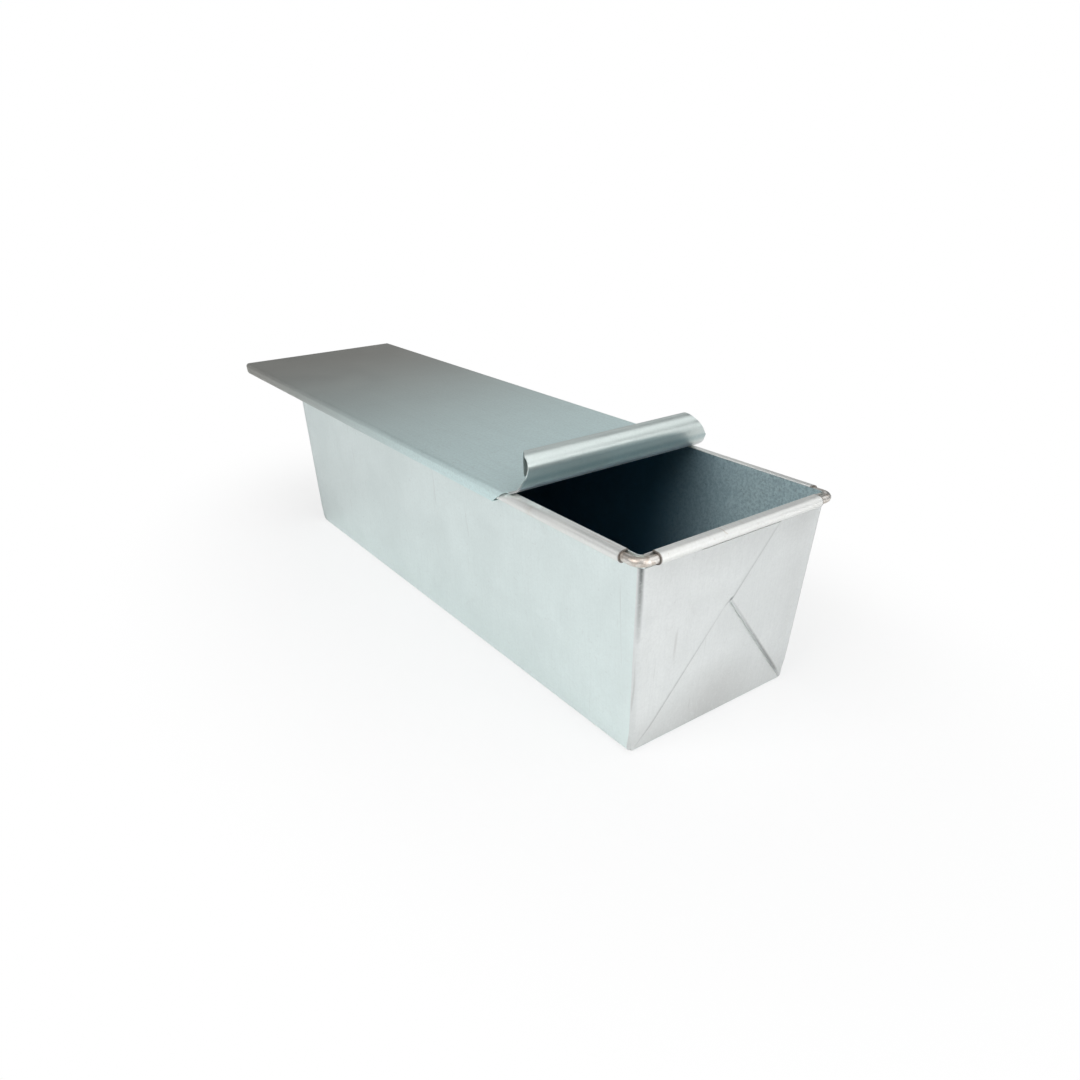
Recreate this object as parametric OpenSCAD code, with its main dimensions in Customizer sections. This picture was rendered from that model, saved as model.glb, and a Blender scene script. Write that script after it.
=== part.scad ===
// Pullman loaf pan: a folded sheet pan with a wired rim and a sliding lid.
// X runs along the pan, +X towards the end that the lid uncovers. Z is up.
// The origin is the centre of the base, on the surface that the pan stands on.

/* [Pan] */
// Outside length of the base
base_l = 328; // [220:1:420]
// Outside width of the base
base_w = 101.5; // [80:1:140]
// Height of the walls
wall_h = 100; // [80:1:130]
// How far each end wall leans out, from base to rim
flare_end = 4; // [1:0.5:8]
// How far each side wall leans out, from base to rim
flare_side = 6; // [1:0.5:9]
// Thickness of the pan's sheet
sheet_t = 0.6; // [0.4:0.1:1]
// Outer radius of the base folds, apart from the rear one
fold_r = 2.5; // [1.5:0.5:5]
// Outer radius of the base fold at the rear end
rear_fold_r = 6; // [2:0.5:9]

/* [Rim] */
// Diameter of the wire in the rim
wire_d = 4; // [3:0.5:5]
// Gap between the wire and the edge rolled round it
wire_gap = 0.1; // [0.08:0.01:0.2]
// Bend radius of the wire's centre line at the corners
wire_bend_r = 4.5; // [4:0.5:9]
// Length that the rolled edges stop short of each corner
corner_cut = 7; // [7:0.5:14]
// Where the rolled edge ends under the wire, from the outward direction
roll_end = 135; // [110:1:138]

/* [Corner ears] */
// Corner radius of the folded ears
ear_corner_r = 2.4; // [1.5:0.1:3]
// How far the ears stand in from the faces of the side walls
ear_inset = 0.05; // [0.03:0.01:0.2]
// Gap left above the ears, under the rolled edge, and under the bare wire
ear_gap = 0.25; // [0.2:0.05:0.5]

/* [Lid] */
// Length of the lid's flat sheet, from its rear edge to its front corners
lid_l = 345; // [230:1:430]
// Thickness of the lid's sheet
lid_t = 0.6; // [0.4:0.1:1]
// How far back the lid stands from its closed place
lid_open = 87.5; // [0:0.5:150]
// Gap between the lid and the rim under it
lid_gap = 0.3; // [0.2:0.05:0.6]
// Gap between the lid's rails and the rolled edges that they run on
rail_gap = 0.8; // [0.5:0.1:1.5]
// Outer bend radius of the rails
rail_bend_r = 2.5; // [1.5:0.1:3]
// Reach of a rail's lip under the rolled edge, from the rail's outer face
rail_lip = 5; // [4:0.1:5.5]
// Length clipped off the rails, at their foot, at the front corners
rail_clip = 10; // [2:0.5:15]
// Length clipped off the rails, at their foot, at the rear corners
rear_clip = 3; // [1:0.5:6]

/* [Curled handle] */
// Straight run of lid in front of the rails
curl_lead = 1; // [1:0.5:5]
// Radius of the bend that turns the sheet up
upturn_r = 7; // [6:0.5:14]
// Angle that the sheet turns up by
upturn = 70; // [60:1:85]
// Straight neck between the bend and the roll
neck_l = 7.5; // [3:0.5:10]
// Radius of the roll
roll_r = 5.6; // [5:0.1:8]
// How far the neck and the roll stop short of the lid's left side
left_inset = 4.5; // [2:0.5:10]
// Height over which the neck's slanting side reaches that
clip_rise = 8; // [6:0.5:10]
// How much further in the back of the roll's left end stands
back_inset = 6.5; // [2:0.5:12]
// Height over the lid at which the right side starts to slant in
slant_start = 6.5; // [2:0.5:8]
// How far the right end stands in from the lid's side, at the top of the roll
right_inset = 12; // [8:0.5:22]
// Angle that the roll goes round
roll_wrap = 290; // [220:5:300]

/* [Hidden] */
$fn = 64;
arc_steps = 10;
skin = 0.01;
clear_cut = 1;
edge_land = 0.2;
wall_col = [0.80, 0.83, 0.83];
rim_col = [0.86, 0.87, 0.84];
wire_col = [0.62, 0.58, 0.54];
lid_col = [0.62, 0.67, 0.67];

end_lean = atan(flare_end / wall_h);
side_lean = atan(flare_side / wall_h);
top_l = base_l + 2 * flare_end;
top_w = base_w + 2 * flare_side;

// Two folded ears lie on each end wall, each of two layers of sheet
ear_t = 2 * sheet_t;
// An ear's folded edge halves the angle that the corner leaves over
ear_lean = (90 - end_lean - side_lean) / 2 - side_lean;
ear_top = wall_h - 2 * sheet_t - wire_d - 2 * wire_gap - ear_gap;
ear_tip_r = sheet_t / 2;

// The wire's centre line, from the roll that holds it
roll_in_r = wire_d / 2 + wire_gap;
roll_out_r = roll_in_r + sheet_t;
wire_y = top_w / 2 + roll_in_r * (cos(side_lean) - sin(side_lean));
wire_x = top_l / 2 + roll_in_r * (cos(end_lean) - sin(end_lean));
wire_z = wall_h - roll_in_r - roll_in_r * (sin(side_lean) + sin(end_lean)) / 2;
notch_z = wire_z - wire_d / 2 - ear_gap;

// The lid and its rails, from the rim
rim_top = wall_h + sheet_t;
lid_z = rim_top + lid_gap;
lid_top = lid_z + lid_t;
rail_y = wire_y + roll_out_r + rail_gap + lid_t;
rail_foot = wire_z - roll_out_r - rail_gap - lid_t;
panel_y = rail_y - rail_bend_r;
lid_rear = -lid_l / 2 - lid_open;
lid_front = lid_l / 2 - lid_open;

// The curl's section, forward and up from the lid's middle layer at its front corners
neck_way = [cos(upturn), sin(upturn)];
neck_inward = [-sin(upturn), cos(upturn)];
bend_c = [curl_lead, upturn_r];
neck_start = bend_c - upturn_r * neck_inward;
roll_c = neck_start + neck_l * neck_way + roll_r * neck_inward;
roll_back = lid_front + roll_c[0] - roll_r - lid_t / 2;
roll_top = lid_z + roll_c[1] + roll_r + lid_t;
roll_foot = lid_z + roll_c[1] - roll_r - lid_t;

// Points along a base fold: hb is half the base, lean the wall's, o the depth under the outer face
function fold_arc(hb, lean, r, o) =
    let (cx = hb - r * (1 - sin(lean)) / cos(lean))
    [for (i = [0:arc_steps])
        let (a = -90 + (90 - lean) * i / arc_steps)
        [cx + (r - o) * cos(a), r + (r - o) * sin(a)]];

function mirrored(points) =
    [for (i = [len(points) - 1:-1:0]) [-points[i][0], points[i][1]]];

// Upright section of the tub, with its own fold radius at each side
function tub_section(hb, lean, r_minus, r_plus, o, rise) =
    let (top = [hb + rise * tan(lean) - o / cos(lean), rise])
    concat(fold_arc(hb, lean, r_plus, o), [top, [-top[0], rise]], mirrored(fold_arc(hb, lean, r_minus, o)));

// The form between the end walls, or with o the form that lies o under their faces
module between_ends(o, rise) {
    rotate([90, 0, 0])
        linear_extrude(2 * top_w, center = true)
            polygon(tub_section(base_l / 2, end_lean, rear_fold_r, fold_r, o, rise));
}

// The same between the side walls
module between_sides(o, rise) {
    rotate([90, 0, 90])
        linear_extrude(2 * top_l, center = true)
            polygon(tub_section(base_w / 2, side_lean, fold_r, fold_r, o, rise));
}

module tub(rise) {
    intersection() {
        between_ends(0, rise);
        between_sides(0, rise);
    }
}

// Space cut out at the rim's corners, where the bare wire goes round
module corner_notches() {
    bend_x = wire_x - wire_bend_r;
    bend_y = wire_y - wire_bend_r;
    for (sx = [-1, 1], sy = [-1, 1])
        mirror([sx < 0 ? 1 : 0, 0, 0])
            mirror([0, sy < 0 ? 1 : 0, 0])
                difference() {
                    translate([bend_x, bend_y, notch_z])
                        cube([2 * wire_bend_r, 2 * wire_bend_r, wall_h]);
                    translate([bend_x, bend_y, 0])
                        cylinder(r = wire_bend_r - wire_d / 2 - wire_gap, h = 3 * wall_h);
                }
}

// The base with both side walls, one sheet thick
module base_and_sides() {
    difference() {
        tub(wall_h);
        between_sides(sheet_t, wall_h + clear_cut);
    }
}

module base_panel() {
    color(wall_col)
    intersection() {
        base_and_sides();
        cube([2 * top_l, base_w - 2 * fold_r, wall_h], center = true);
    }
}

// The wall at +Y with its base fold
module side_wall() {
    color(wall_col)
    difference() {
        base_and_sides();
        translate([0, base_w / 2 - fold_r - top_w, 0])
            cube([2 * top_l, 2 * top_w, 3 * wall_h], center = true);
        corner_notches();
    }
}

// The wall at +X, or with sx = -1 the wall at -X, between the side walls
module end_wall(sx) {
    color(wall_col)
    difference() {
        intersection() {
            between_ends(0, wall_h);
            between_sides(sheet_t, wall_h + clear_cut);
            translate([sx * top_l, 0, 0])
                cube([2 * top_l, 2 * top_w, 3 * wall_h], center = true);
        }
        between_ends(sheet_t, wall_h + clear_cut);
        corner_notches();
    }
}

// A thin upright rod whose outer face lies "layer" outside the front wall at height z
module face_rod(y, z, layer, r) {
    translate([base_l / 2 + z * tan(end_lean) + layer - r, y, z - skin])
        cylinder(r = r, h = skin, $fn = 32);
}

module ear_root(s, z0) {
    for (z = [z0, ear_top])
        face_rod(s * (base_w / 2 + z * tan(side_lean) - ear_corner_r - ear_inset), z, ear_t, ear_corner_r);
}

// Place along the width where an ear's folded edge reaches height z
function ear_edge_y(s, z) = s * (base_w / 2 - z * tan(ear_lean));

module ear_under_form(z0) {
    hull() {
        ear_root(1, z0);
        face_rod(ear_edge_y(1, ear_top), ear_top, ear_t, ear_tip_r);
    }
}

module ear_over_form(z0) {
    hull() {
        ear_root(-1, z0);
        face_rod(0, base_w / 2 / tan(ear_lean), 2 * ear_t, ear_tip_r);
        for (s = [-1, 1])
            face_rod(ear_edge_y(s, ear_top), ear_top, 2 * ear_t, ear_tip_r);
    }
}

module ear_under(z0) {
    color(wall_col)
    difference() {
        ear_under_form(z0);
        tub(wall_h + clear_cut);
    }
}

module ear_over(z0) {
    color(wall_col)
    difference() {
        ear_over_form(z0);
        ear_under_form(z0);
        tub(wall_h + clear_cut);
    }
}

// Section of an edge rolled out over the wire, from the top of the wall's outer face
module roll_section() {
    translate([roll_in_r, -roll_in_r])
        intersection() {
            difference() {
                circle(roll_out_r);
                circle(roll_in_r);
            }
            polygon(concat([[0, 0]],
                [for (i = [0:arc_steps])
                    let (a = -roll_end + (90 + roll_end) * i / arc_steps)
                    2 * roll_out_r * [cos(a), sin(a)]]));
        }
    square([roll_in_r + skin, sheet_t]);
    intersection() {
        circle(sheet_t);
        translate([-sheet_t, 0])
            square(sheet_t);
    }
}

module rolled_side() {
    color(rim_col)
    translate([0, top_w / 2, wall_h])
        rotate([-side_lean, 0, 0])
            rotate([90, 0, 90])
                linear_extrude(top_l - 2 * corner_cut, center = true)
                    roll_section();
}

module rolled_end() {
    color(rim_col)
    translate([top_l / 2, 0, wall_h])
        rotate([0, 0, -90])
            rotate([-end_lean, 0, 0])
                rotate([90, 0, 90])
                    linear_extrude(top_w - 2 * corner_cut, center = true)
                        roll_section();
}

module rim_wire() {
    run_x = wire_x - wire_bend_r;
    run_y = wire_y - wire_bend_r;
    color(wire_col)
    translate([0, 0, wire_z]) {
        for (s = [-1, 1]) {
            translate([0, s * wire_y, 0])
                rotate([0, 90, 0])
                    cylinder(d = wire_d, h = 2 * run_x, center = true);
            translate([s * wire_x, 0, 0])
                rotate([90, 0, 0])
                    cylinder(d = wire_d, h = 2 * run_y, center = true);
        }
        for (q = [[1, 1, 0], [-1, 1, 90], [-1, -1, 180], [1, -1, 270]])
            translate([q[0] * run_x, q[1] * run_y, 0])
                rotate([0, 0, q[2]])
                    rotate_extrude(angle = 90)
                        translate([wire_bend_r, 0])
                            circle(d = wire_d);
    }
}

module lid_panel() {
    color(lid_col)
    translate([lid_rear, -panel_y, lid_z])
        cube([lid_l + curl_lead, 2 * panel_y, lid_t]);
}

// Quarter of a bent sheet, round the origin, from angle a to a + 90
module quarter_bend(r, t, a) {
    intersection() {
        difference() {
            circle(r);
            circle(r - t);
        }
        rotate(a)
            square(2 * r);
    }
}

// Section of the rail at +Y, across and up: out over the rim and down
module rail_section() {
    translate([panel_y, lid_top - rail_bend_r])
        quarter_bend(rail_bend_r, lid_t, 0);
    translate([rail_y - lid_t, rail_foot + rail_bend_r])
        square([lid_t, lid_top - rail_foot - 2 * rail_bend_r + skin]);
}

// Section of the lip at the rail's foot, turned in under the rim
module lip_section() {
    translate([panel_y, rail_foot + rail_bend_r])
        quarter_bend(rail_bend_r, lid_t, 270);
    translate([rail_y - rail_lip, rail_foot])
        square([rail_lip - rail_bend_r + skin, lid_t]);
}

// Slanting cut through a rail's end, run long at its foot
module clip_wedge(x, run) {
    translate([0, rail_y + clear_cut, 0])
        rotate([90, 0, 0])
            linear_extrude(rail_lip + 2 * clear_cut)
                polygon([[x - sign(run) * edge_land, lid_top + skin], [x - run, lid_top + skin],
                    [x - run, rail_foot - clear_cut], [x + run, rail_foot - clear_cut],
                    [x + run, rail_foot]]);
}

// The section drawn along the lid, with its ends clipped
module along_lid() {
    color(lid_col)
    difference() {
        translate([lid_rear, 0, 0])
            rotate([90, 0, 90])
                linear_extrude(lid_l)
                    children();
        clip_wedge(lid_front, -rail_clip);
        clip_wedge(lid_rear, rear_clip);
    }
}

module lid_rail() {
    along_lid() rail_section();
}

module lid_lip() {
    along_lid() lip_section();
}

// Stretch of sheet bent round the origin at radius r, from angle a0 on by da
module bent_strip(r, t, a0, da) {
    intersection() {
        difference() {
            circle(r + t / 2);
            circle(r - t / 2);
        }
        polygon(concat([[0, 0]],
            [for (i = [0:arc_steps])
                let (a = a0 + da * i / arc_steps)
                2 * r * [cos(a), sin(a)]]));
    }
}

// The neck is a skin thinner than its bends, so that no face only grazes another
module curl_section() {
    translate(bend_c)
        bent_strip(upturn_r, lid_t, -90, upturn);
    translate(neck_start)
        rotate(upturn)
            translate([-edge_land, -lid_t / 2 + skin])
                square([neck_l + 2 * edge_land, lid_t - 2 * skin]);
    translate(roll_c)
        bent_strip(roll_r, lid_t, upturn - 90, roll_wrap);
}

// What is cut off beside the curl at +Y: inset is reached between the heights low and high
module curl_side_cut(low, high, inset) {
    above = roll_top + clear_cut;
    out = panel_y + clear_cut;
    rotate([90, 0, 90])
        linear_extrude(2 * lid_l, center = true)
            polygon([[panel_y, low], [panel_y - inset, high], [panel_y - inset, above],
                [out, above], [out, low]]);
}

// What is cut off the roll's left end, seen from above: the back stands further in
module roll_back_cut() {
    edge = -panel_y + left_inset;
    out = -panel_y - clear_cut;
    from = lid_front + roll_c[0] + roll_r / 2;
    to = roll_back - clear_cut;
    translate([0, 0, roll_foot])
        linear_extrude(roll_top)
            polygon([[from, edge], [to, edge + back_inset], [to, out], [from, out]]);
}

module lid_curl_handle() {
    color(lid_col)
    difference() {
        translate([lid_front, 0, lid_z + lid_t / 2])
            rotate([90, 0, 0])
                linear_extrude(2 * panel_y, center = true)
                    curl_section();
        mirror([0, 1, 0])
            curl_side_cut(lid_top - edge_land, lid_top + clip_rise, left_inset);
        curl_side_cut(lid_top + slant_start, roll_top + edge_land, right_inset);
        roll_back_cut();
    }
}

base_panel();
mirror([0, 1, 0]) side_wall();  // wall_left
side_wall();  // wall_right
end_wall(1);  // wall_front
end_wall(-1);  // wall_rear
ear_under(fold_r);  // front_ear_under
ear_over(fold_r);  // front_ear_over
rotate([0, 0, 180]) ear_under(rear_fold_r);  // rear_ear_under
rotate([0, 0, 180]) ear_over(rear_fold_r);  // rear_ear_over
mirror([0, 1, 0]) rolled_side();  // rolled_edge_left
rolled_side();  // rolled_edge_right
rolled_end();  // rolled_edge_front
mirror([1, 0, 0]) rolled_end();  // rolled_edge_rear
rim_wire();
lid_panel();
mirror([0, 1, 0]) lid_rail();  // lid_rail_left
lid_rail();  // lid_rail_right
mirror([0, 1, 0]) lid_lip();  // lid_lip_left
lid_lip();  // lid_lip_right
lid_curl_handle();
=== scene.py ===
import math

import bmesh
import bpy
from mathutils import Matrix, Vector


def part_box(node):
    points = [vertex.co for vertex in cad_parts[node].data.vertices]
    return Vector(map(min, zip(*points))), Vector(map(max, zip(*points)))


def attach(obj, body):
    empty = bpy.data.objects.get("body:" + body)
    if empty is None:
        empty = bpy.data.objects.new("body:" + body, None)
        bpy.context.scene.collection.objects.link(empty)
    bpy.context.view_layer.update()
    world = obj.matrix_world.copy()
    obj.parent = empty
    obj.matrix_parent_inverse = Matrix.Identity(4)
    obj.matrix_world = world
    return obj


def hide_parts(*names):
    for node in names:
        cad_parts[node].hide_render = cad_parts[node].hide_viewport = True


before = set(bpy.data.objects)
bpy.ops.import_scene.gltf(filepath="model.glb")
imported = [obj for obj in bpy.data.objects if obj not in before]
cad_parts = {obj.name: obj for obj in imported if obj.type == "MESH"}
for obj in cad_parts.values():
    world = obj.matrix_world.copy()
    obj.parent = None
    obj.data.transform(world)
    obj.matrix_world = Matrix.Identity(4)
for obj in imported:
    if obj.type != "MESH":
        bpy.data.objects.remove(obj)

# Sizes of the pan, in metres, as the frame has them
MM = 0.001
BASE_L = 328 * MM
BASE_W = 101.5 * MM
WALL_H = 100 * MM
SHEET_T = 0.6 * MM
FOLD_R = 2.5 * MM
REAR_FOLD_R = 6 * MM
END_TAN = 4 / 100
SIDE_TAN = 6 / 100
END_LEAN = math.atan(END_TAN)
SIDE_LEAN = math.atan(SIDE_TAN)
EAR_T = 2 * SHEET_T
EAR_TAN = math.tan((math.pi / 2 - END_LEAN - SIDE_LEAN) / 2 - SIDE_LEAN)
EAR_TOP = WALL_H - 5.65 * MM
CORNER_R = 2.4 * MM
# Height over the base at which an ear stands off the end wall by its full thickness
LIFT_H = 14 * MM
# How far the side wall's bend stays behind the ear that is bent round it
BEHIND_EAR = 0.12 * MM
# Edges that turn by more than this stay sharp
SHARP = math.radians(40)

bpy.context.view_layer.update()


# Meshes

def smoothstep(value):
    value = min(max(value, 0.0), 1.0)
    return value * value * (3 - 2 * value)


def mesh_piece(name, points, faces, body, nodes):
    """A finished piece at the origin, riding on its body, for the nodes that it replaces."""
    mesh = bpy.data.meshes.new(name)
    mesh.from_pydata([tuple(p) for p in points], [], faces)
    mesh.validate()
    piece = bpy.data.objects.new(name, mesh)
    bpy.context.scene.collection.objects.link(piece)
    for polygon in mesh.polygons:
        polygon.use_smooth = True
    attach(piece, body)
    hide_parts(*nodes)
    return piece


def loft(rings):
    """Points and faces of a closed form through rings that have the same number of points."""
    count = len(rings[0])
    points = [p for ring in rings for p in ring]
    faces = []
    for row in range(len(rings) - 1):
        for i in range(count):
            j = (i + 1) % count
            low, high = row * count, (row + 1) * count
            faces.append((low + i, low + j, high + j, high + i))
    faces.append(tuple(range(count - 1, -1, -1)))
    last = (len(rings) - 1) * count
    faces.append(tuple(range(last, last + count)))
    return points, faces


def outward(piece):
    """Turns the faces outward and keeps sharp edges sharp."""
    form = bmesh.new()
    form.from_mesh(piece.data)
    bmesh.ops.recalc_face_normals(form, faces=form.faces)
    for edge in form.edges:
        if len(edge.link_faces) == 2:
            edge.smooth = edge.calc_face_angle(0) < SHARP
    form.to_mesh(piece.data)
    form.free()


# The walls' faces: half an extent at height z, at a depth under the outer face

def face_at(half, lean, fold_r, z, depth):
    if z < fold_r * (1 - math.sin(lean)):
        centre = half - fold_r * (1 - math.sin(lean)) / math.cos(lean)
        rise = (fold_r - depth) ** 2 - (fold_r - z) ** 2
        return centre + math.sqrt(max(rise, 0.0))
    return half + z * math.tan(lean) - depth / math.cos(lean)


def side_y(z, depth=0.0):
    return face_at(BASE_W / 2, SIDE_LEAN, FOLD_R, z, depth)


def end_x(end, z, depth=0.0):
    return face_at(BASE_L / 2, END_LEAN, FOLD_R if end > 0 else REAR_FOLD_R, z, depth)


def lift_at_corner(z):
    """How far an ear's face stands outside the end wall beside its corner, at height z."""
    return EAR_T * smoothstep(z / LIFT_H)


FOLD_STEPS = 8
RISE_STEPS = 48


def wall_levels():
    """Heights as (kind, value): steps round the base fold and then fractions of the rise."""
    arc = [("fold", i / FOLD_STEPS) for i in range(FOLD_STEPS)]
    return arc + [("rise", i / RISE_STEPS) for i in range(RISE_STEPS + 1)]


def level_point(level, top, depth):
    """(half width, height) of the side wall's face at a level, depth under the outer face."""
    kind, value = level
    start = FOLD_R * (1 - math.sin(SIDE_LEAN))
    if kind == "fold":
        angle = -math.pi / 2 + (math.pi / 2 - SIDE_LEAN) * value
        centre = BASE_W / 2 - start / math.cos(SIDE_LEAN)
        return (centre + (FOLD_R - depth) * math.cos(angle), FOLD_R + (FOLD_R - depth) * math.sin(angle))
    z = start + (top - start) * value
    return (BASE_W / 2 + z * SIDE_TAN - depth / math.cos(SIDE_LEAN), z)


def side_wall(name, side, nodes):
    """A side wall, one sheet thick, bent round both corners behind the ears and up to the rim."""
    bend_steps = 8
    flat_steps = 60
    fade_h = 0.8 * MM
    last = bend_steps + flat_steps

    def point(level, column, depth):
        half, z = level_point(level, WALL_H, depth)
        face, outer_z = level_point(level, WALL_H, 0.0)
        above = smoothstep((outer_z - EAR_TOP) / fade_h)
        radius = CORNER_R - depth - BEHIND_EAR * (1 - above)
        lift = lift_at_corner(outer_z) * (1 - above)
        centre_y = face - CORNER_R
        starts = {end: end_x(end, outer_z) + lift - CORNER_R for end in (-1, 1)}
        if column <= bend_steps or column >= last:
            end = -1 if column <= bend_steps else 1
            turn = column if end < 0 else last + bend_steps - column
            angle = math.pi / 2 * turn / bend_steps
            if turn == bend_steps:
                return (end * starts[end], side * half, z)
            x = end * (starts[end] + radius * math.cos(angle))
            return (x, side * (centre_y + radius * math.sin(angle)), z)
        share = (column - bend_steps) / flat_steps
        x = -starts[-1] + (starts[1] + starts[-1]) * share
        return (x, side * half, z)

    rings = []
    columns = range(last + bend_steps + 1)
    for level in wall_levels():
        outer = [point(level, column, 0.0) for column in columns]
        inner = [point(level, column, SHEET_T) for column in reversed(columns)]
        rings.append(outer + inner)
    points, faces = loft(rings)
    piece = mesh_piece(name, points, faces, "pan", nodes)
    outward(piece)
    return piece


def paint_inside(piece, outside, inside, inward):
    """The faces that look inward get the inside's material. inward is a direction."""
    piece.data.materials.clear()
    piece.data.materials.append(outside)
    piece.data.materials.append(inside)
    for polygon in piece.data.polygons:
        if polygon.normal.dot(inward) > 0.5:
            polygon.material_index = 1


def ear(name, side, end, over, nodes):
    """A corner ear: the side wall's sheet bent round the corner and folded back on itself."""
    bend_steps = 16
    face_steps = 36
    edge_steps = 6
    # Over this stretch the upper ear climbs onto the lower one, from this far before its edge
    climb = 7 * MM
    climb_lead = 5 * MM
    # How much thicker than its lift the ear is near the base, and its least width there
    thin = 0.35 * MM
    least_w = 0.5 * MM

    def lift(y, z):
        """Height of the ear's face above the end wall, with the step onto the ear under it."""
        base = lift_at_corner(z)
        if not over:
            return base
        under_edge = side * (-BASE_W / 2 + z * EAR_TAN)
        beyond = (under_edge - y) * side
        return base + EAR_T * smoothstep((beyond + climb_lead) / climb)

    def ring(level):
        loop = []
        back = []

        def column(u, z):
            """Outer and inner point at u, from 0 to 1 round the bend and from 1 to 2 along the face."""
            thick = min(EAR_T, lift_at_corner(z) + thin)
            x_face = end_x(end, z)
            half = side_y(z)
            centre_x = x_face + lift_at_corner(z) - CORNER_R
            centre_y = half - CORNER_R
            if u <= 1:
                angle = math.pi / 2 * (1 - u)
                inner_r = CORNER_R - (SHEET_T + (thick - SHEET_T) * u)
                out = (centre_x + CORNER_R * math.cos(angle), centre_y + CORNER_R * math.sin(angle))
                inn = (centre_x + inner_r * math.cos(angle), centre_y + inner_r * math.sin(angle))
                return out, inn, thick
            edge_y = min(BASE_W / 2 - z * EAR_TAN, centre_y - least_w)
            y = centre_y + (edge_y - centre_y) * (u - 1)
            x = x_face + lift(side * y, z)
            return (x, y), (x - thick, y), thick

        z = level_point(level, EAR_TOP, 0.0)[1]
        steps = [i / bend_steps for i in range(bend_steps)]
        steps += [1 + i / face_steps for i in range(face_steps + 1)]
        for u in steps:
            out, inn, thick = column(u, z)
            loop.append((end * out[0], side * out[1], z))
            back.append((end * inn[0], side * inn[1], z))
        out, inn, thick = column(2, z)
        middle_x = (out[0] + inn[0]) / 2
        for i in range(1, edge_steps):
            angle = math.pi / 2 - math.pi * i / edge_steps
            x = middle_x + thick / 2 * math.sin(angle)
            y = out[1] - thick / 2 * math.cos(angle)
            loop.append((end * x, side * y, z))
        return loop + back[::-1]

    rings = [ring(level) for level in wall_levels()]
    points, faces = loft(rings)
    piece = mesh_piece(name, points, faces, "pan", nodes)
    outward(piece)
    return piece


# Materials

# Features per metre of the patterns, across, along and up
CLOUDS = (30, 30, 30)
FINE = (1300, 1300, 1300)
FLECKS = (420, 420, 420)
MOTTLE = (700, 700, 700)
SMUDGES = (17, 19, 14)
SCRATCH_SHARE = 0.45
WIRE_SPOTS = (160, 160, 160)
WIRE_FINE = (1800, 1800, 1800)
SHEET_BUMP = 0.4 * MM
WIRE_BUMP = 0.1 * MM


def new_material(name):
    material = bpy.data.materials.new(name)
    material.use_nodes = True
    tree = material.node_tree
    tree.nodes.clear()
    shader = tree.nodes.new("ShaderNodeBsdfPrincipled")
    output = tree.nodes.new("ShaderNodeOutputMaterial")
    tree.links.new(shader.outputs["BSDF"], output.inputs["Surface"])
    return material, tree, shader


def coordinates(tree, scale):
    """Object coordinates stretched by scale, in features per metre."""
    source = tree.nodes.new("ShaderNodeTexCoord")
    mapping = tree.nodes.new("ShaderNodeMapping")
    mapping.inputs["Scale"].default_value = scale
    tree.links.new(source.outputs["Object"], mapping.inputs["Vector"])
    return mapping.outputs["Vector"]


def noise_value(tree, scale, detail=4.0, roughness=0.55, distortion=0.0):
    texture = tree.nodes.new("ShaderNodeTexNoise")
    texture.inputs["Scale"].default_value = 1.0
    texture.inputs["Detail"].default_value = detail
    texture.inputs["Roughness"].default_value = roughness
    texture.inputs["Distortion"].default_value = distortion
    tree.links.new(coordinates(tree, scale), texture.inputs["Vector"])
    return texture.outputs["Fac"]


def ramp(tree, value, low, high, low_out=0.0, high_out=1.0, kind="SMOOTHSTEP"):
    node = tree.nodes.new("ShaderNodeMapRange")
    node.interpolation_type = kind
    node.inputs["From Min"].default_value = low
    node.inputs["From Max"].default_value = high
    node.inputs["To Min"].default_value = low_out
    node.inputs["To Max"].default_value = high_out
    tree.links.new(value, node.inputs["Value"])
    return node.outputs["Result"]


def mix_colour(tree, amount, first, second, mode="MIX"):
    node = tree.nodes.new("ShaderNodeMix")
    node.data_type = "RGBA"
    node.blend_type = mode
    for socket, value in (("A", first), ("B", second)):
        target = [s for s in node.inputs if s.name == socket and s.type == "RGBA"][0]
        if isinstance(value, tuple):
            target.default_value = (*value, 1.0)
        else:
            tree.links.new(value, target)
    factor = [s for s in node.inputs if s.name == "Factor" and s.type == "VALUE"][0]
    if isinstance(amount, float):
        factor.default_value = amount
    else:
        tree.links.new(amount, factor)
    return [s for s in node.outputs if s.type == "RGBA"][0]


def maths(tree, operation, first, second):
    node = tree.nodes.new("ShaderNodeMath")
    node.operation = operation
    for socket, value in zip(node.inputs, (first, second)):
        if isinstance(value, (int, float)):
            socket.default_value = value
        else:
            tree.links.new(value, socket)
    return node.outputs["Value"]


def vector_maths(tree, operation, first, second=None):
    """A vector operation; second is a socket or a tuple."""
    node = tree.nodes.new("ShaderNodeVectorMath")
    node.operation = operation
    for socket, value in zip(node.inputs, (first, second)):
        if isinstance(value, tuple):
            socket.default_value = value
        elif value is not None:
            tree.links.new(value, socket)
    return node


def end_place(tree):
    """Object coordinates in which both ends of the pan read as its front end."""
    source = tree.nodes.new("ShaderNodeTexCoord")
    split = tree.nodes.new("ShaderNodeSeparateXYZ")
    join = tree.nodes.new("ShaderNodeCombineXYZ")
    tree.links.new(source.outputs["Object"], split.inputs[0])
    sign = maths(tree, "SIGN", split.outputs["X"], 0.0)
    tree.links.new(maths(tree, "MULTIPLY", split.outputs["X"], sign), join.inputs["X"])
    tree.links.new(maths(tree, "MULTIPLY", split.outputs["Y"], sign), join.inputs["Y"])
    tree.links.new(split.outputs["Z"], join.inputs["Z"])
    return join.outputs["Vector"]


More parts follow.
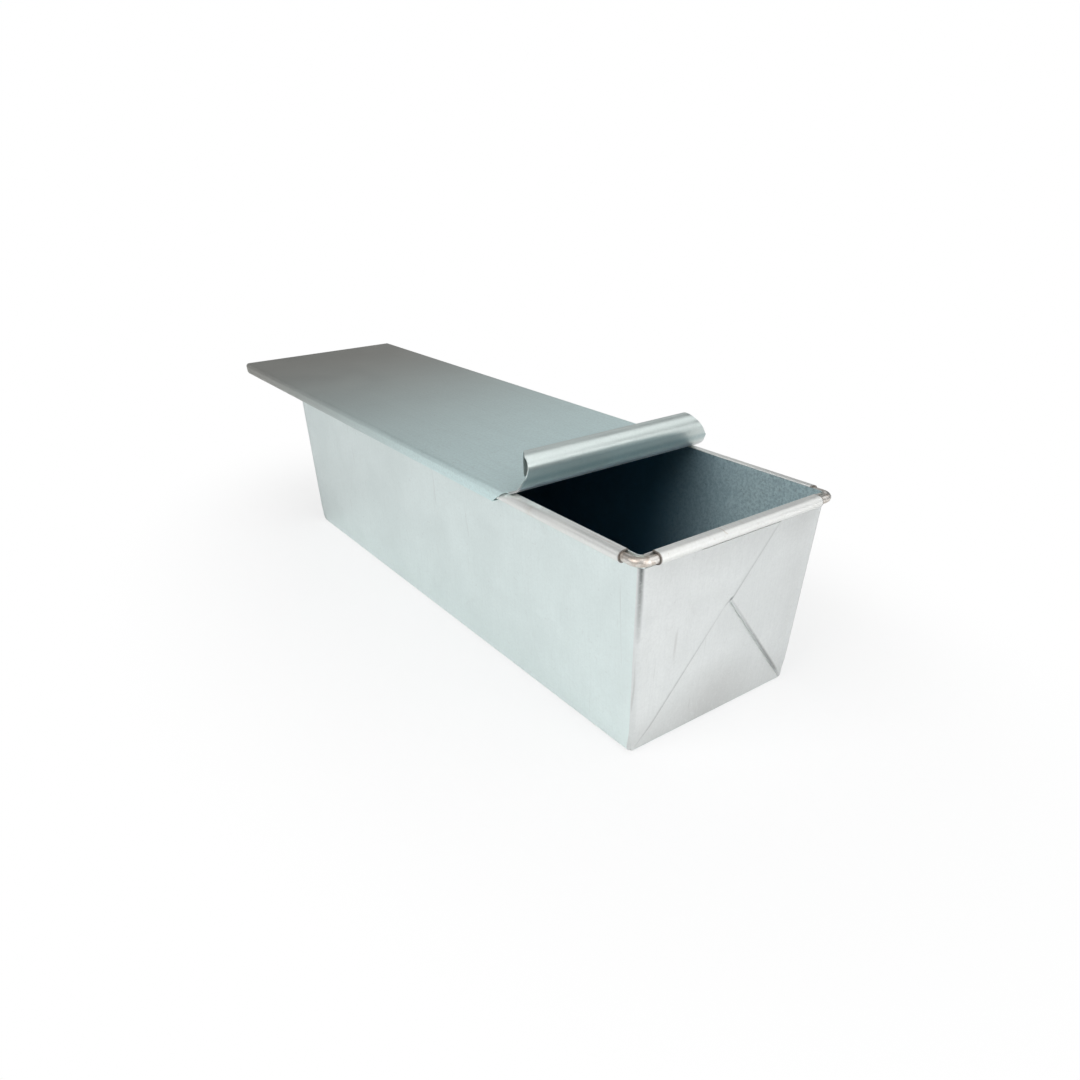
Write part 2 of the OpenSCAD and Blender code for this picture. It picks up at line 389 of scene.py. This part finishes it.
def near_line(tree, place, start, end, width, start_amount, end_amount):
    """An amount along the line from start to end that falls to 0 at width from it."""
    along = Vector(end) - Vector(start)
    offset = vector_maths(tree, "SUBTRACT", place, tuple(start)).outputs["Vector"]
    share = vector_maths(tree, "DOT_PRODUCT", offset, tuple(along / along.length_squared)).outputs["Value"]
    share = ramp(tree, share, 0.0, 1.0, kind="LINEAR")
    nearest = vector_maths(tree, "SCALE", tuple(along))
    tree.links.new(share, nearest.inputs["Scale"])
    gap = vector_maths(tree, "SUBTRACT", offset, nearest.outputs["Vector"])
    distance = vector_maths(tree, "LENGTH", gap.outputs["Vector"]).outputs["Value"]
    amount = ramp(tree, share, 0.0, 1.0, start_amount, end_amount, kind="LINEAR")
    return maths(tree, "MULTIPLY", ramp(tree, distance, 0.0, width, 1.0, 0.0), amount)


def near_plane(tree, axis, at, width):
    """1 where the coordinate on this axis is at or -at, falling to 0 at width from there."""
    split = tree.nodes.new("ShaderNodeSeparateXYZ")
    tree.links.new(coordinates(tree, (1.0, 1.0, 1.0)), split.inputs[0])
    away = maths(tree, "SUBTRACT", maths(tree, "ABSOLUTE", split.outputs[axis], 0.0), at)
    return ramp(tree, maths(tree, "ABSOLUTE", away, 0.0), 0.0, width, 1.0, 0.0)


def galvanised(name, light, dark, stain, grain, metallic=0.9, rough=(0.36, 0.46), speckle=0.3, stains=0.35,
               clouds_amount=0.45, marks=(), planes=(), shade_along_x=None):
    """Zinc-coated sheet: cloudy tone, fine speckle, a faint grain, smudges and marks along lines.

    marks are lines as (start, end, width, start amount, end amount, colour), planes are bands as
    (axis, distance from the middle, width, amount, colour), and both carry painted shade and highlights
    where they are given; the last argument is (colour, from x, to x): painted shade, the colour that the
    sheet has short of the first x and loses by the next.
    """
    material, tree, shader = new_material(name)
    clouds = noise_value(tree, CLOUDS, 5.0, 0.6, 0.4)
    fine = noise_value(tree, FINE, 2.0, 0.75)
    flecks = noise_value(tree, FLECKS, 3.0, 0.7, 0.6)
    mottle = noise_value(tree, MOTTLE, 2.0, 0.6)
    lines = noise_value(tree, grain, 3.0, 0.65)
    scratches = noise_value(tree, tuple(value * SCRATCH_SHARE for value in grain), 2.0, 0.5, 0.5)
    smudge = noise_value(tree, SMUDGES, 7.0, 0.7, 1.4)
    tone = mix_colour(tree, ramp(tree, clouds, 0.3, 0.7, 0.0, clouds_amount), light, dark)
    tone = mix_colour(tree, ramp(tree, lines, 0.42, 0.75, 0.0, 0.3), tone, dark)
    tone = mix_colour(tree, ramp(tree, fine, 0.45, 0.8, 0.0, speckle), tone, dark)
    tone = mix_colour(tree, ramp(tree, mottle, 0.35, 0.7, 0.0, speckle), tone, dark)
    tone = mix_colour(tree, ramp(tree, flecks, 0.6, 0.78, 0.0, speckle), tone, stain)
    tone = mix_colour(tree, ramp(tree, scratches, 0.68, 0.8, 0.0, stains), tone, stain)
    tone = mix_colour(tree, ramp(tree, smudge, 0.6, 0.8, 0.0, stains), tone, stain)
    # Painted shade: the sheet takes a darker colour short of an x, in place of shade and dimmer reflection
    if shade_along_x:
        split = tree.nodes.new("ShaderNodeSeparateXYZ")
        tree.links.new(coordinates(tree, (1.0, 1.0, 1.0)), split.inputs[0])
        shade_colour, deep_x, clear_x = shade_along_x
        depth = ramp(tree, split.outputs["X"], deep_x, clear_x, 1.0, 0.0)
        tone = mix_colour(tree, depth, tone, shade_colour)
    if marks:
        place = end_place(tree)
        broken = ramp(tree, flecks, 0.2, 0.5, 0.5, 1.0)
    for start, end, width, start_amount, end_amount, colour in marks:
        line = near_line(tree, place, start, end, width, start_amount, end_amount)
        tone = mix_colour(tree, maths(tree, "MULTIPLY", line, broken), tone, colour)
    for axis, at, width, amount, colour in planes:
        band = maths(tree, "MULTIPLY", near_plane(tree, axis, at, width), amount)
        tone = mix_colour(tree, band, tone, colour)
    tree.links.new(tone, shader.inputs["Base Color"])
    shader.inputs["Metallic"].default_value = metallic
    uneven = maths(tree, "ADD", clouds, maths(tree, "MULTIPLY", fine, 0.5))
    tree.links.new(ramp(tree, uneven, 0.5, 1.0, *rough), shader.inputs["Roughness"])
    height = maths(tree, "ADD", clouds, maths(tree, "MULTIPLY", fine, 0.05))
    height = maths(tree, "ADD", height, maths(tree, "MULTIPLY", lines, 0.05))
    bump = tree.nodes.new("ShaderNodeBump")
    bump.inputs["Strength"].default_value = 0.3
    bump.inputs["Distance"].default_value = SHEET_BUMP
    tree.links.new(height, bump.inputs["Height"])
    tree.links.new(bump.outputs["Normal"], shader.inputs["Normal"])
    return material


def drawn_wire(name):
    """Bare wire: smoother and warmer than the sheet, with rubbed and stained spots."""
    material, tree, shader = new_material(name)
    spots = noise_value(tree, WIRE_SPOTS, 5.0, 0.6, 0.8)
    fine = noise_value(tree, WIRE_FINE, 2.0, 0.6)
    tone = mix_colour(tree, ramp(tree, spots, 0.4, 0.68), (0.86, 0.83, 0.79), (0.56, 0.48, 0.41))
    tone = mix_colour(tree, ramp(tree, fine, 0.4, 0.8, 0.0, 0.3), tone, (0.3, 0.28, 0.26))
    tree.links.new(tone, shader.inputs["Base Color"])
    shader.inputs["Metallic"].default_value = 1.0
    tree.links.new(ramp(tree, spots, 0.3, 0.7, 0.34, 0.48), shader.inputs["Roughness"])
    bump = tree.nodes.new("ShaderNodeBump")
    bump.inputs["Strength"].default_value = 0.2
    bump.inputs["Distance"].default_value = WIRE_BUMP
    tree.links.new(fine, bump.inputs["Height"])
    tree.links.new(bump.outputs["Normal"], shader.inputs["Normal"])
    return material


def paint(piece, material):
    piece.data.materials.clear()
    piece.data.materials.append(material)


def paint_node(name, material):
    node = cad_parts[name]
    if not node.material_slots:
        node.data.materials.append(material)
    for part_slot in node.material_slots:
        part_slot.material = material


UPRIGHT_GRAIN = (900, 900, 14)
LONG_GRAIN = (14, 900, 900)
ACROSS_GRAIN = (900, 14, 900)

# Painted shade along the folds at each end, in end_place coordinates
FOLD_SHADE = (0.16, 0.17, 0.17)
WIDE_DARKENING = (0.50, 0.50, 0.49)
EAR_RIM_Y = EAR_TOP * EAR_TAN - BASE_W / 2
APEX_Z = BASE_W / 2 / EAR_TAN
FACE_X = BASE_L / 2 + EAR_T
APEX_X = FACE_X + EAR_T + APEX_Z * END_TAN
left_foot = (FACE_X, -BASE_W / 2, 0.0)
right_foot = (FACE_X, BASE_W / 2, 0.0)
apex = (APEX_X, 0.0, APEX_Z)
over_rim = (FACE_X + EAR_T + EAR_TOP * END_TAN, EAR_RIM_Y, EAR_TOP)
SEAM_W = 1.7 * MM
# Painted shade along the steps at the ears' folded edges, strongest along the lower ear's edge
end_marks = [
    (left_foot, apex, SEAM_W, 0.45, 0.5, FOLD_SHADE),
    (apex, over_rim, SEAM_W, 0.3, 0.12, FOLD_SHADE),
    (right_foot, apex, SEAM_W, 0.9, 0.75, FOLD_SHADE),
]
# Painted shade down each corner bend, under the wire, darkest at the top and fading downward
CREASE_L = 34 * MM
CREASE_W = 1.8 * MM
IN_BEND = 0.6 * MM
for side in (-1, 1):
    crease_x = FACE_X + EAR_TOP * END_TAN - IN_BEND
    crease_y = BASE_W / 2 + EAR_TOP * SIDE_TAN - IN_BEND
    crease_top = (crease_x, side * crease_y, EAR_TOP)
    crease_low = (crease_x - CREASE_L * END_TAN, side * (crease_y - CREASE_L * SIDE_TAN), EAR_TOP - CREASE_L)
    end_marks.append((crease_top, crease_low, CREASE_W, 1.0, 0.15, FOLD_SHADE))
# Wide darker bands under the rim, down the right side and along the base
high_right = (FACE_X + 4 * MM, 42 * MM, 96 * MM)
low_right = (FACE_X + 2 * MM, 50 * MM, 40 * MM)
high_left = (FACE_X + 4 * MM, -40 * MM, 97 * MM)
low_middle = (FACE_X, 0.0, 6 * MM)
end_marks.append((high_left, high_right, 22 * MM, 0.25, 0.3, WIDE_DARKENING))
end_marks.append((high_right, low_right, 20 * MM, 0.2, 0.1, WIDE_DARKENING))
end_marks.append((left_foot, low_middle, 34 * MM, 0.35, 0.35, WIDE_DARKENING))
end_marks.append((low_middle, right_foot, 34 * MM, 0.35, 0.3, WIDE_DARKENING))

# Painted shade in the gaps at the cut ends of the rolled edges, beside the bare wire
CORNER_CUT = 7 * MM
HEM_END_W = 0.8 * MM
HEM_END_SHADE = (0.16, 0.13, 0.11)
hem_end_shades = [
    ("X", BASE_L / 2 + WALL_H * END_TAN - CORNER_CUT, HEM_END_W, 0.85, HEM_END_SHADE),
    ("Y", BASE_W / 2 + WALL_H * SIDE_TAN - CORNER_CUT, HEM_END_W, 0.85, HEM_END_SHADE),
]

# The neck under the roll has a painted dull band for its shade and darker reflection, and a painted
# highlight along its foot
lid_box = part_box("lid_panel")
NECK_SHADE = (0.30, 0.44, 0.46)
NECK_FOOT_HIGHLIGHT = (1.0, 1.0, 1.0)
neck_x = lid_box[1][0] + 7.0 * MM
neck_z = lid_box[1][2] + 6.5 * MM
foot_x = lid_box[1][0] + 4.4 * MM
foot_z = lid_box[1][2] + 1.6 * MM
neck_shade_and_highlight = [
    ((neck_x, -WALL_H, neck_z), (neck_x, WALL_H, neck_z), 3.2 * MM, 0.5, 0.5, NECK_SHADE),
    ((foot_x, -WALL_H, foot_z), (foot_x, WALL_H, foot_z), 4.2 * MM, 1.0, 1.0, NECK_FOOT_HIGHLIGHT),
]

# Painted shadow and reflection: the inside is dark away from its front end, where the lid shades it, and the
# lid darkens towards its rear, where it reflects less light
inside_painted_shadow = ((0.07, 0.16, 0.23), 60 * MM, 140 * MM)
lid_painted_dimming = ((0.42, 0.415, 0.39), -250 * MM, 70 * MM)

side_metal = galvanised(
    "side_sheet", (0.85, 0.93, 0.92), (0.75, 0.82, 0.81), (0.60, 0.62, 0.61), UPRIGHT_GRAIN
)
# The ends' sheet, with painted shade along the folds and down the corner bends, and wide darker bands
end_metal = galvanised(
    "end_sheet", (0.84, 0.86, 0.855), (0.71, 0.73, 0.725), (0.55, 0.55, 0.54), UPRIGHT_GRAIN, stains=0.5,
    marks=end_marks,
)
# The inside's sheet, painted dark away from the front end as the lid's shadow
inner_metal = galvanised(
    "inner_sheet", (0.78, 0.96, 0.99), (0.50, 0.66, 0.70), (0.26, 0.36, 0.38), UPRIGHT_GRAIN, metallic=0.5,
    speckle=0.95, clouds_amount=0.2, stains=0.2, shade_along_x=inside_painted_shadow,
)
# The rolled edges' sheet, with painted shade at their cut ends
rim_metal = galvanised(
    "rim_sheet", (0.93, 0.935, 0.92), (0.82, 0.82, 0.79), (0.62, 0.55, 0.46), LONG_GRAIN, stains=0.5,
    planes=hem_end_shades, rough=(0.46, 0.58),
)
# The lid's sheet, painted duller towards its rear in place of its dimmer reflection
lid_metal = galvanised(
    "lid_sheet", (0.80, 0.95, 0.95), (0.65, 0.77, 0.77), (0.56, 0.62, 0.61), LONG_GRAIN, speckle=0.45,
    clouds_amount=0.3, rough=(0.54, 0.62), shade_along_x=lid_painted_dimming,
)
# The roll's sheet, with the painted shade and the painted highlight on its neck
roll_metal = galvanised(
    "roll_sheet", (0.77, 0.84, 0.82), (0.68, 0.75, 0.73), (0.52, 0.56, 0.55), ACROSS_GRAIN,
    rough=(0.34, 0.46), speckle=0.45, marks=neck_shade_and_highlight,
)
wire_metal = drawn_wire("rim_wire_metal")

# Pieces that this scene models

left_wall = side_wall("side_wall_left", -1, ["wall_left"])
right_wall = side_wall("side_wall_right", 1, ["wall_right"])
ears = [
    ear("ear_front_over", -1, 1, True, ["front_ear_over"]),
    ear("ear_front_under", 1, 1, False, ["front_ear_under"]),
    ear("ear_rear_over", 1, -1, True, ["rear_ear_over"]),
    ear("ear_rear_under", -1, -1, False, ["rear_ear_under"]),
]
paint_inside(left_wall, side_metal, inner_metal, Vector((0, 1, 0)))
paint_inside(right_wall, side_metal, inner_metal, Vector((0, -1, 0)))
for folded in ears:
    paint(folded, end_metal)
paint_node("wall_front", end_metal)
paint_node("wall_rear", end_metal)
paint_node("base_panel", inner_metal)
for name in ("rolled_edge_left", "rolled_edge_right", "rolled_edge_front", "rolled_edge_rear"):
    paint_node(name, rim_metal)
paint_node("rim_wire", wire_metal)
for name in ("lid_panel", "lid_rail_left", "lid_rail_right", "lid_lip_left", "lid_lip_right"):
    paint_node(name, lid_metal)
paint_node("lid_curl_handle", roll_metal)


# Camera: the place and turn that the photograph's corners give

AZIMUTH = math.radians(56.94)
ELEVATION = math.radians(24.64)
ROLL = math.radians(-1.39)
CAMERA_AT = Vector((370.2, -262.0, 237.0)) * MM
FOCAL_SHARE = 818.7 / 1080
CENTRE_X = 478.1 / 1080
CENTRE_Y = 541.4 / 1080
SENSOR = 36.0

back = Vector((
    math.sin(AZIMUTH) * math.cos(ELEVATION),
    -math.cos(AZIMUTH) * math.cos(ELEVATION),
    math.sin(ELEVATION),
))
right = (-back).cross(Vector((0, 0, 1))).normalized()
up = right.cross(-back)
turned_right = right * math.cos(ROLL) + up * math.sin(ROLL)
turned_up = up * math.cos(ROLL) - right * math.sin(ROLL)
turn = Matrix((turned_right, turned_up, back)).transposed()
camera_data = bpy.data.cameras.new("camera")
camera = bpy.data.objects.new("camera", camera_data)
bpy.context.scene.collection.objects.link(camera)
camera.matrix_world = Matrix.Translation(CAMERA_AT) @ turn.to_4x4()
camera_data.sensor_width = SENSOR
camera_data.lens = SENSOR * FOCAL_SHARE
camera_data.shift_x = 0.5 - CENTRE_X
camera_data.shift_y = CENTRE_Y - 0.5
camera_data.clip_start = 0.01
camera_data.clip_end = 50
bpy.context.scene.camera = camera


# Studio: pale floor, white background and soft lights

def area_light(name, place, aim, size, power):
    data = bpy.data.lights.new(name, "AREA")
    data.shape = "RECTANGLE"
    data.size, data.size_y = size
    data.energy = power
    light = bpy.data.objects.new(name, data)
    bpy.context.scene.collection.objects.link(light)
    direction = Vector(aim) - Vector(place)
    facing = direction.to_track_quat("-Z", "Y").to_matrix().to_4x4()
    light.matrix_world = Matrix.Translation(Vector(place)) @ facing


# Lights as (name, place, aim, size, power in watts)
LIGHTS = [
    ("key", (0.1, -1.6, 1.3), (0, 0, 0.05), (1.6, 1.2), 23.5),
    ("fill", (1.7, 0.1, 1.0), (0, 0, 0.05), (1.2, 1.2), 11.4),
    ("top", (0.3, 0.2, 1.9), (0, 0, 0), (1.6, 1.6), 9),
    ("back", (-1.6, 1.5, 1.25), (0, 0, 0.1), (1.4, 1.0), 2.4),
    ("right", (1.1, 1.6, 1.6), (0, 0, 0.1), (2.2, 1.6), 9),
    ("low", (1.2, 0.3, 0.14), (0, 0, 0.11), (1.0, 0.24), 2),
]
FLOOR_TONE = (0.9, 0.9, 0.9, 1)
WHITE = (1, 1, 1, 1)
# Light from all round, which the camera sees as plain white
WORLD_TONE = (0.80, 0.86, 0.88, 1)
WORLD_STRENGTH = 0.17
# Seen from the camera the floor goes to white between these distances from the middle
FADE_FROM = 0.16
FADE_TO = 0.38
FADE_AT_PAN = 0.7


def studio():
    floor_mesh = bpy.data.meshes.new("floor")
    reach = 6.0
    floor_mesh.from_pydata(
        [(-reach, -reach, 0), (reach, -reach, 0), (reach, reach, 0), (-reach, reach, 0)], [], [(0, 1, 2, 3)]
    )
    floor = bpy.data.objects.new("floor", floor_mesh)
    bpy.context.scene.collection.objects.link(floor)
    floor_material, tree, shader = new_material("floor")
    shader.inputs["Base Color"].default_value = FLOOR_TONE
    shader.inputs["Roughness"].default_value = 0.9
    shader.inputs["Specular IOR Level"].default_value = 0.0
    far = tree.nodes.new("ShaderNodeEmission")
    far.inputs["Color"].default_value = WHITE
    centre = tree.nodes.new("ShaderNodeVectorMath")
    centre.operation = "LENGTH"
    tree.links.new(coordinates(tree, (1.0, 1.6, 1.0)), centre.inputs[0])
    path = tree.nodes.new("ShaderNodeLightPath")
    fade = ramp(tree, centre.outputs["Value"], FADE_FROM, FADE_TO, FADE_AT_PAN, 1.0)
    fade = maths(tree, "MULTIPLY", fade, path.outputs["Is Camera Ray"])
    blend = tree.nodes.new("ShaderNodeMixShader")
    output = [node for node in tree.nodes if node.type == "OUTPUT_MATERIAL"][0]
    tree.links.new(fade, blend.inputs["Fac"])
    tree.links.new(shader.outputs["BSDF"], blend.inputs[1])
    tree.links.new(far.outputs["Emission"], blend.inputs[2])
    tree.links.new(blend.outputs["Shader"], output.inputs["Surface"])
    floor_mesh.materials.append(floor_material)

    world = bpy.data.worlds.new("studio")
    bpy.context.scene.world = world
    world.use_nodes = True
    tree = world.node_tree
    tree.nodes.clear()
    output = tree.nodes.new("ShaderNodeOutputWorld")
    seen = tree.nodes.new("ShaderNodeBackground")
    seen.inputs["Color"].default_value = WHITE
    lit = tree.nodes.new("ShaderNodeBackground")
    lit.inputs["Color"].default_value = WORLD_TONE
    lit.inputs["Strength"].default_value = WORLD_STRENGTH
    path = tree.nodes.new("ShaderNodeLightPath")
    either = tree.nodes.new("ShaderNodeMixShader")
    tree.links.new(path.outputs["Is Camera Ray"], either.inputs["Fac"])
    tree.links.new(lit.outputs["Background"], either.inputs[1])
    tree.links.new(seen.outputs["Background"], either.inputs[2])
    tree.links.new(either.outputs["Shader"], output.inputs["Surface"])

    for light in LIGHTS:
        area_light(*light)


studio()
bpy.context.scene.view_settings.view_transform = "Standard"
